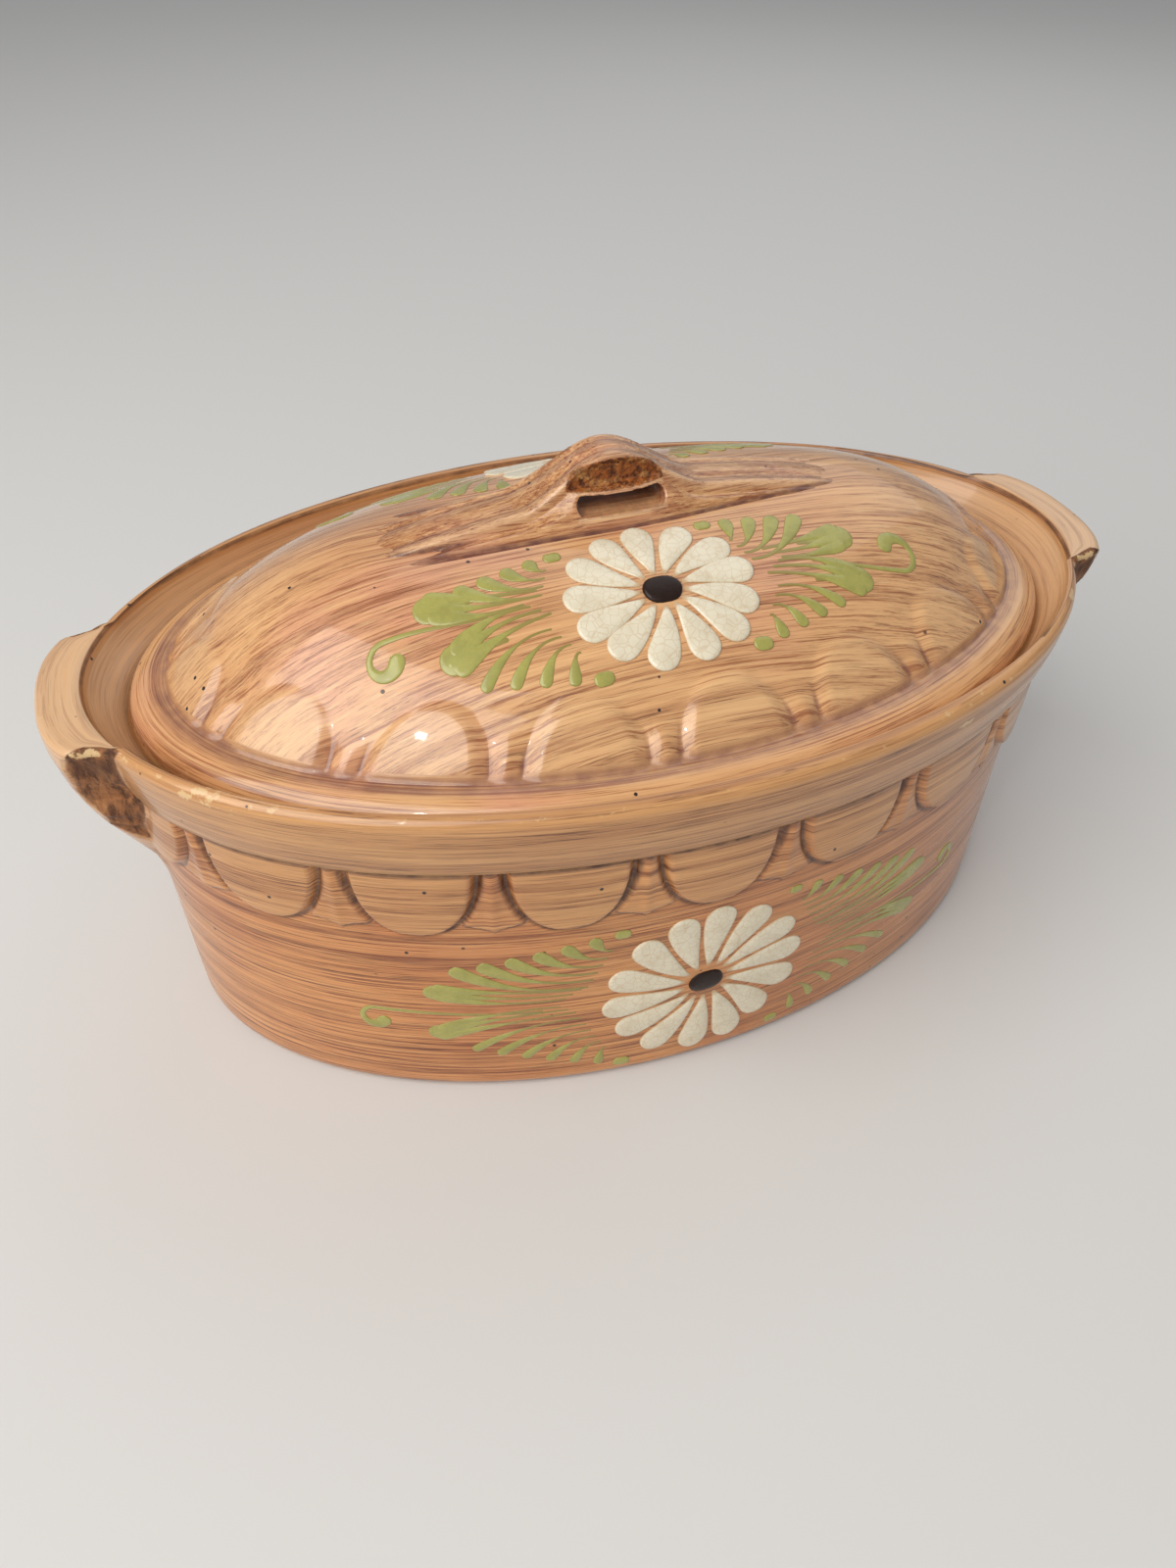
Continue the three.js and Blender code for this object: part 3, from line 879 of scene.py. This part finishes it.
def daisy(petals, reach, inner, squash, swirl):
    """Teardrop petals round a flower's middle, narrow inside and round outside."""
    strokes = []
    widest = reach * math.tan(PI / petals) * 0.68
    for i in range(petals):
        base = 2 * PI * (i + 0.35) / petals
        long = reach * (1 + 0.03 * math.sin(3.1 * i)) - widest
        t = np.linspace(0, 1, 22)
        r = inner + 0.6 + (long - inner - 0.6) * t
        a = base + swirl * (t - 0.5) * (1 + 0.5 * math.sin(1.7 * i))
        path = np.stack([r * np.cos(a), r * np.sin(a) * squash], 1)
        radius = 1.0 + (widest - 1.0) * (1 - (1 - t) ** 1.5) ** 1.1
        strokes.append(stroke(path, radius, 0.9))
    return strokes


def dot(u, v, radius, height):
    t = np.linspace(-0.35, 0.35, 5)
    return stroke(np.stack([u + t * radius, v + 0 * t], 1), np.full(5, radius * 0.85), height)


def tail_stroke(head, tail, head_radius, sag, height=0.5):
    """A stroke that starts in a round head and thins away to its tail."""
    head, tail = np.array(head), np.array(tail)
    bend = np.array([head[0] + (tail[0] - head[0]) * 0.45, tail[1] + sag])
    t = np.linspace(0, 1, 26)
    radius = head_radius * (1 - smooth((t - 0.04) / 0.55) * 0.66) * (1 - 0.55 * t) + 0.1
    return stroke(bezier([head, bend, tail], t), radius, height)


def frond(f):
    """The green sprig growing towards -u: two rows of tailed strokes, two lobes and a curl."""
    top, low = f["top_row"], f["low_row"]
    strokes = [dot(*top[0], f["head"], 0.6), dot(*low[0], f["head"] * 1.1, 0.6)]
    for (first, step, tail, tail_step), swell, growth, sag in ((top, 0.9, 0.05, -0.8), (low, 0.78, 0, 0.8)):
        for k in range(1, f["count"] + 1):
            start = np.subtract(first, np.multiply(step, k))
            end = np.subtract(tail, np.multiply(tail_step, k))
            strokes.append(tail_stroke(start, end, f["head"] * (swell + growth * k), sag))
    size = f["lobe"]
    for lobe, root, way in f["lobes"]:
        for share in (-1, 0, 1):
            head = (lobe[0] + 2.0 * abs(share), lobe[1] + share * size * 0.55)
            tail = (root[0] - 3 * abs(share - way), root[1] + share * 2.3)
            strokes.append(tail_stroke(head, tail, size * 0.56, share * size * 0.3))
        strokes.append(tail_stroke(lobe, (lobe[0] + size * 3.0, lobe[1] - way * 1.0), size * 0.9, 0.0))
    strokes.append(curl(f))
    return strokes


def curl(f):
    """A long stem that rolls up at its end."""
    centre = np.array(f["curl"])
    size = f["curl_size"]
    turn = np.linspace(0, 1.35 * PI, 30)
    shrink = size * (1 - 0.42 * turn / turn[-1])
    way = f["curl_way"]
    roll = centre + np.stack([-shrink * np.sin(turn), way * shrink * np.cos(turn)], 1)
    t = np.linspace(0, 1, 24)[:-1]
    start = np.array(f["stem"])
    lead = roll[0] + (size * 2.2, 0.0)
    stem = bezier([start, (start + lead) / 2 + (0, -way * 1.5), lead, roll[0]], t)
    path = np.concatenate([stem, roll])
    s = np.linspace(0, 1, len(path))
    radius = 0.6 + 0.9 * s + (f["head"] * 1.05 - 1.5) * smooth((s - 0.6) / 0.35)
    return stroke(path, radius, 0.6)


def mirrored(strokes):
    """The same strokes on the other side of the flower."""
    flip = np.array([-1.0, 1.0])
    return [(path * flip, radius, tangent * flip, height) for path, radius, tangent, height in strokes]


# A frond's rows hold the first dot, the step back to the next, the first tail and its step. A lobe holds its
# head, its root and the way it opens.
POT_FROND = {
    "top_row": ((-35, 38), (10.2, 2.2), (-37, 34), (1.9, 3.8)),
    "low_row": ((-34, -40), (9.6, -3.1), (-39, -33), (2.0, -4.3)),
    "count": 6, "head": 2.7, "lobe": 4.4, "lobes": (((-106, 13), (-51, 8), 1), ((-106, -11), (-53, -1), -1)),
    "curl": (-130, -4.5), "curl_size": 6.0, "curl_way": 1, "stem": (-66, -0.5),
}
LID_FROND = {
    "top_row": ((-33, 23.5), (8.6, 1.7), (-35.5, 21.5), (1.6, 3.4)),
    "low_row": ((-30, -28), (9.6, -2.4), (-33, -20.5), (2.4, -3.6)),
    "count": 4, "head": 2.8, "lobe": 6.0, "lobes": (((-80, 13.5), (-43, 8), 1), ((-76, -6.5), (-41, 2), -1)),
    "curl": (-98, 1.5), "curl_size": 6.4, "curl_way": 1, "stem": (-62, 4.5),
}
# The frond on a flower's other side, drawn on the same side as the first and then mirrored.
POT_SECOND_FROND = {**POT_FROND, "head": 2.4, "lobe": 4.0, "curl": (-128, 3.0), "curl_way": -1}
LID_SECOND_FROND = {
    "top_row": ((-25.5, 26.5), (8.8, 1.1), (-31, 20), (1.6, 3.4)),
    "low_row": ((-29, -27), (8.8, -3.2), (-33, -20.5), (2.4, -3.6)),
    "count": 4, "head": 2.8, "lobe": 5.8, "lobes": (((-75, 12.0), (-43, 8), 1), ((-76, -6.0), (-41, 2), -1)),
    "curl": (-97, 6.0), "curl_size": 8.0, "curl_way": -1, "stem": (-60, 3.0),
}

POT_FLOWER = {"petals": 14, "reach": 42.5, "inner": 9.5, "squash": 0.97, "swirl": -0.10}
LID_FLOWER = {"petals": 13, "reach": 36.0, "inner": 8.5, "squash": 0.84, "swirl": -0.10}


def decorate(where, body, place, flower, leaves, slips):
    """One flower with its fronds, as three pieces."""
    eye_u = np.linspace(-1.6, 1.6, 7)
    parts = {
        ("petals", "cream_slip"): daisy(**flower),
        ("eye", "dark_slip"): [stroke(np.stack([eye_u, 0 * eye_u], 1), np.full(7, 5.6), 1.3)],
        ("fronds", "green_slip"): frond(leaves[0]) + mirrored(frond(leaves[1])),
    }
    for (part, slot), strokes in parts.items():
        add_piece(slip_mesh(f"{where}_{part}", strokes, place, slips[slot]), body)


# ---- materials


class Shader:
    """A material with a Principled shader, and short ways to add the nodes that drive it."""

    def __init__(self, name):
        self.material = bpy.data.materials.new(name)
        self.material.use_nodes = True
        self.tree = self.material.node_tree
        self.surface = self.tree.nodes["Principled BSDF"]

    def feed(self, node, socket, value):
        """Links a value into a node's socket, or sets it there if it is a constant."""
        if isinstance(value, bpy.types.NodeSocket):
            self.tree.links.new(value, node.inputs[socket])
        else:
            node.inputs[socket].default_value = value

    def node(self, kind, inputs=(), **settings):
        made = self.tree.nodes.new(kind)
        for key, value in settings.items():
            setattr(made, key, value)
        for socket, value in dict(inputs).items():
            self.feed(made, socket, value)
        return made

    def attribute(self, name, output="Fac"):
        return self.node("ShaderNodeAttribute", attribute_name=name).outputs[output]

    def position(self):
        return self.node("ShaderNodeTexCoord").outputs["Object"]

    def noise(self, vector, scale, detail=3.0, roughness=0.5):
        inputs = {"Vector": vector, "Scale": scale, "Detail": detail, "Roughness": roughness}
        return self.node("ShaderNodeTexNoise", inputs).outputs["Fac"]

    def range(self, value, low, high, to_low=0.0, to_high=1.0):
        inputs = {0: value, 1: low, 2: high, 3: to_low, 4: to_high}
        return self.node("ShaderNodeMapRange", inputs, interpolation_type="SMOOTHSTEP").outputs[0]

    def math(self, operation, a, b):
        return self.node("ShaderNodeMath", {0: a, 1: b}, operation=operation).outputs[0]

    def times(self, a, b):
        return self.math("MULTIPLY", a, b)

    def mix(self, factor, a, b):
        inputs = {"Factor": factor, 6: a, 7: b}
        return self.node("ShaderNodeMix", inputs, data_type="RGBA").outputs[2]

    def bump(self, height, distance, strength=1.0, below=None):
        inputs = {"Height": height, "Distance": distance, "Strength": strength}
        if below is not None:
            inputs["Normal"] = below
        return self.node("ShaderNodeBump", inputs).outputs[0]

    def set(self, socket, value):
        self.feed(self.surface, socket, value)


PINHOLE = srgb(40, 22, 14)


def glaze(name, look):
    """Brushed brown slip under a clear glaze, with stains and some painted shade in the recesses, paler tones
    (a few of them painted light), wear on the edges and pinholes.
    """
    s = Shader(name)
    grain = s.attribute("grain", "Vector")
    here = s.position()
    stain_and_shade, raw, wear, tone = (s.attribute(name) for name in ("stain_and_shade", "raw", "wear", "tone"))

    patches = s.range(s.noise(here, 9.0, 2.0), 0.38, 0.62)
    warm = s.range(s.noise(here, 17.0, 2.0), 0.5, 0.7)
    broad = s.noise(grain, 200.0, 4.0, 0.6)
    lines = s.noise(grain, 1000.0, 5.0, 0.7)
    hairs = s.noise(grain, 3000.0, 3.0, 0.6)
    brushed = s.times(s.range(tone, 0.1, 0.9, 1.0, look["calm"]), look["lines"])
    bold = s.range(tone, 0.7, 1.6, 1.0, 0.35)

    colour = s.mix(patches, look["base"], look["second"])
    colour = s.mix(s.times(warm, 0.5), colour, look["warm"])
    colour = s.mix(tone, colour, look["tone"])
    colour = s.mix(s.range(tone, 1.0, 2.0), colour, look["pale"])
    wide_marks = s.times(s.range(broad, 0.44, 0.66, 0.0, look["broad"]), bold)
    colour = s.mix(wide_marks, colour, look["streak"])
    colour = s.mix(s.times(s.range(lines, 0.52, 0.62), brushed), colour, look["streak"])
    thin = s.times(s.range(hairs, 0.52, 0.63, 0.0, look["hairs"]), bold)
    colour = s.mix(s.times(thin, s.range(broad, 0.4, 0.6, 0.3, 1.0)), colour, look["dark"])
    colour = s.mix(s.range(lines, 0.47, 0.36, 0.0, 0.55), colour, look["light"])

    uneven = s.range(s.noise(here, 160.0, 3.0), 0.3, 0.7, 0.55, 1.0)
    # Darkens towards the stain colour: real stains, and painted shade under the band, in the lobe outlines
    # and inside the finger slot.
    stain_and_shade_amount = s.times(s.range(stain_and_shade, 0.12, 0.85), uneven)
    colour = s.mix(s.times(stain_and_shade_amount, look["soak"]), colour, look["stain_and_shade"])
    drawn = s.node("ShaderNodeMapping", {"Vector": here, "Scale": (1.0, 1.0, look["drawn"])}).outputs[0]
    mottle = s.noise(drawn, look["mottle"], 5.0, 0.75)
    bare = s.mix(s.range(mottle, 0.36, 0.64), look["raw_dark"], look["raw_light"])
    bare = s.mix(s.range(s.noise(drawn, look["mottle"] * 0.3, 4.0, 0.7), 0.52, 0.74), bare, look["raw_pale"])
    bare = s.mix(s.range(stain_and_shade, 0.45, 1.0, 0.0, 0.7), bare, look["raw_dark"])
    colour = s.mix(s.range(raw, 0.15, 0.6), colour, bare)
    frayed = s.math("ADD", wear, s.range(s.noise(here, 210.0, 5.0, 0.6), 0.3, 0.7, -0.3, 0.3))
    colour = s.mix(s.range(frayed, 0.42, 0.56, 0.0, 0.85), colour, look["worn"])
    pits = s.node("ShaderNodeTexVoronoi", {"Vector": here, "Scale": 140.0})
    pit = s.range(pits.outputs["Distance"], 0.08, 0.12, 1.0, 0.0)
    chosen = s.range(pits.outputs["Color"], 0.74, 0.76)
    pit = s.times(pit, chosen)
    colour = s.mix(pit, colour, PINHOLE)
    s.set("Base Color", colour)

    rough = s.range(broad, 0.3, 0.7, look["gloss"], look["gloss"] + 0.12)
    rough = s.math("ADD", rough, s.times(raw, 0.4))
    s.set("Roughness", rough)
    s.set("Coat Weight", s.range(raw, 0.1, 0.6, look["coat"], 0.0))
    s.set("Coat Roughness", 0.05)
    s.set("IOR", 1.5)
    height = s.math("ADD", s.times(lines, 0.6), s.times(hairs, 0.25))
    peel = s.times(s.noise(here, 130.0, 2.0), 1.2)
    height = s.math("ADD", height, peel)
    height = s.math("SUBTRACT", height, s.times(pit, 2.0))
    height = s.math("ADD", height, s.times(s.times(mottle, raw), 6.0))
    s.set("Normal", s.bump(height, 0.00012, 0.8))
    return s.material


def slip(name, colour, edge, shade, crackle):
    """A raised coloured slip under the glaze: paler where it is thick, with fine crackle."""
    s = Shader(name)
    here = s.position()
    thick = s.attribute("thick")
    cloud = s.noise(here, 140.0, 4.0, 0.6)
    body = s.mix(s.range(cloud, 0.4, 0.65), colour, shade)
    body = s.mix(s.range(thick, 0.5, 0.1), body, edge)
    cells = s.node("ShaderNodeTexVoronoi", {"Vector": here, "Scale": 330.0}, feature="DISTANCE_TO_EDGE")
    crack = s.range(cells.outputs["Distance"], 0.015, 0.07, crackle, 0.0)
    body = s.mix(crack, body, edge)
    s.set("Base Color", body)
    s.set("Roughness", s.range(cloud, 0.3, 0.7, 0.2, 0.36))
    s.set("Coat Weight", 0.5)
    s.set("Coat Roughness", 0.06)
    s.set("Normal", s.bump(s.noise(here, 300.0, 3.0), 0.00015, 0.5))
    return s.material


def dark_slip():
    s = Shader("dark_slip")
    here = s.position()
    fleck = s.range(s.noise(here, 900.0, 4.0, 0.7), 0.64, 0.74)
    s.set("Base Color", s.mix(fleck, srgb(38, 22, 15), srgb(104, 72, 52)))
    s.set("Roughness", s.range(s.noise(here, 200.0, 3.0), 0.3, 0.7, 0.25, 0.4))
    s.set("Specular IOR Level", 0.3)
    s.set("Normal", s.bump(s.noise(here, 350.0, 3.0), 0.0002, 0.5))
    return s.material


def bare_clay():
    s = Shader("bare_clay")
    here = s.position()
    cloud = s.noise(here, 40.0, 5.0, 0.6)
    grit = s.noise(here, 900.0, 4.0, 0.7)
    clay = s.mix(s.range(cloud, 0.35, 0.65), srgb(176, 116, 80), srgb(150, 92, 62))
    clay = s.mix(s.range(grit, 0.55, 0.7, 0.0, 0.6), clay, srgb(110, 66, 44))
    s.set("Base Color", clay)
    s.set("Roughness", 0.88)
    s.set("Normal", s.bump(grit, 0.0003, 0.7))
    return s.material


POT_LOOK = {
    "base": srgb(220, 150, 88), "second": srgb(204, 130, 72), "warm": srgb(210, 132, 80),
    "tone": srgb(208, 156, 102), "streak": srgb(134, 68, 34), "dark": srgb(88, 44, 20),
    "light": srgb(232, 176, 116), "pale": srgb(238, 198, 156), "stain_and_shade": srgb(70, 34, 16),
    "worn": srgb(226, 192, 140),
    "broad": 0.45, "lines": 0.92, "hairs": 0.85, "calm": 0.3, "soak": 0.95, "gloss": 0.26, "coat": 0.4,
    "mottle": 330.0, "drawn": 0.3,
    "raw_dark": srgb(80, 45, 24), "raw_light": srgb(164, 108, 64), "raw_pale": srgb(198, 148, 98),
}
LID_LOOK = {
    **POT_LOOK, "base": srgb(230, 177, 122), "second": srgb(218, 158, 106), "warm": srgb(228, 162, 132),
    "tone": srgb(234, 188, 134), "streak": srgb(156, 92, 52), "dark": srgb(108, 60, 36),
    "light": srgb(242, 196, 138), "stain_and_shade": srgb(122, 72, 64), "worn": srgb(232, 194, 144),
    "broad": 0.42, "lines": 0.8, "hairs": 0.7, "calm": 0.4, "soak": 0.85, "gloss": 0.18, "coat": 0.6,
}
STRAP_LOOK = {
    **LID_LOOK, "base": srgb(212, 158, 104), "second": srgb(196, 138, 88), "stain_and_shade": srgb(98, 54, 48),
    "tone": srgb(228, 182, 138), "broad": 0.7, "lines": 1.0, "hairs": 0.9, "soak": 0.9,
    "mottle": 460.0, "drawn": 1.0,
    "raw_dark": srgb(76, 36, 14), "raw_light": srgb(176, 100, 40), "raw_pale": srgb(218, 164, 98),
}
CAVITY_LOOK = {
    **POT_LOOK, "base": srgb(196, 150, 98), "second": srgb(186, 138, 88),
    "broad": 0.3, "lines": 0.35, "hairs": 0.2,
}


# ---- camera and studio


def add_camera():
    """The photograph's view: a little left of the front, looking down, close to the pot."""
    turn, pitch, roll = math.radians(-19.81), math.radians(41.76), math.radians(0.59)
    place = Vector((-143.4, -375.0, 412.0)) * MM
    back = Vector((math.sin(turn) * math.cos(pitch), -math.cos(turn) * math.cos(pitch), math.sin(pitch)))
    right = (-back).cross(Vector((0, 0, 1))).normalized()
    up = right.cross(-back)
    right, up = (
        math.cos(roll) * right + math.sin(roll) * up,
        -math.sin(roll) * right + math.cos(roll) * up,
    )
    data = bpy.data.cameras.new("camera")
    data.sensor_fit = "VERTICAL"
    data.sensor_height = 36.0
    data.lens = 27.32
    camera = linked("camera", data)
    camera.matrix_world = Matrix.Translation(place) @ Matrix((right, up, back)).transposed().to_4x4()
    bpy.context.scene.camera = camera


def area_light(name, place, size, watts, colour=(1, 1, 1)):
    data = bpy.data.lights.new(name, "AREA")
    data.shape = "RECTANGLE"
    data.size, data.size_y = size
    data.energy = watts
    data.color = colour
    light = linked(name, data)
    light.location = place
    light.rotation_euler = (Vector((0, 0, 0.1)) - Vector(place)).to_track_quat("-Z", "Y").to_euler()


def add_studio():
    floor_shader = Shader("floor")
    floor_shader.set("Base Color", (0.72, 0.71, 0.69, 1))
    floor_shader.set("Roughness", 0.9)
    size = 4000.0
    points = [(-size, -size, 0), (size, -size, 0), (size, size, 0), (-size, size, 0)]
    floor = mesh_object("floor", np.array(points, float), [(0, 1, 2, 3)], [floor_shader.material])
    world = bpy.data.worlds.new("studio")
    world.use_nodes = True
    background = world.node_tree.nodes["Background"]
    background.inputs["Color"].default_value = (0.95, 0.97, 1.0, 1)
    background.inputs["Strength"].default_value = 0.34
    bpy.context.scene.world = world
    area_light("key", (-1.12, -0.62, 1.45), (1.8, 1.8), 32, (1.0, 0.97, 0.93))
    area_light("spark", (-0.7, -0.85, 1.5), (0.05, 0.05), 0.7)
    area_light("back", (0.9, 1.0, 1.5), (1.8, 1.8), 6, (0.98, 0.99, 1.0))
    bpy.context.scene.view_settings.view_transform = "Standard"


# ---- the casserole

add_camera()
add_studio()

pot_glaze = glaze("pot_glaze", POT_LOOK)
lid_glaze = glaze("lid_glaze", LID_LOOK)
strap_glaze = glaze("strap_glaze", STRAP_LOOK)
cavity_glaze = glaze("cavity_glaze", CAVITY_LOOK)
clay = bare_clay()
slips = {
    "cream_slip": slip("cream_slip", srgb(236, 226, 200), srgb(204, 168, 124), srgb(226, 214, 186), 0.36),
    "green_slip": slip("green_slip", srgb(172, 168, 86), srgb(150, 132, 66), srgb(158, 154, 76), 0.15),
    "dark_slip": dark_slip(),
}

rows, row_materials = pot_rows()
pot_shell = skin("pot_shell", rows, [pot_glaze, cavity_glaze, clay], row_materials)
add_piece(pot_shell, "pot", ["pot_body", "rim_band", "lug_left", "lug_right"])

rows, row_materials = lid_rows()
lid_shell = skin("lid_shell", rows, [lid_glaze, cavity_glaze, clay], row_materials)
add_piece(lid_shell, "lid", ["lid_dome"])

add_piece(build_handle([strap_glaze]), "lid", ["lid_handle"])

for side, where in ((-1, "front"), (1, "back")):
    decorate(f"pot_{where}", "pot", on_pot(side), POT_FLOWER, (POT_FROND, POT_SECOND_FROND), slips)
    decorate(f"lid_{where}", "lid", on_lid(side), LID_FLOWER, (LID_FROND, LID_SECOND_FROND), slips)
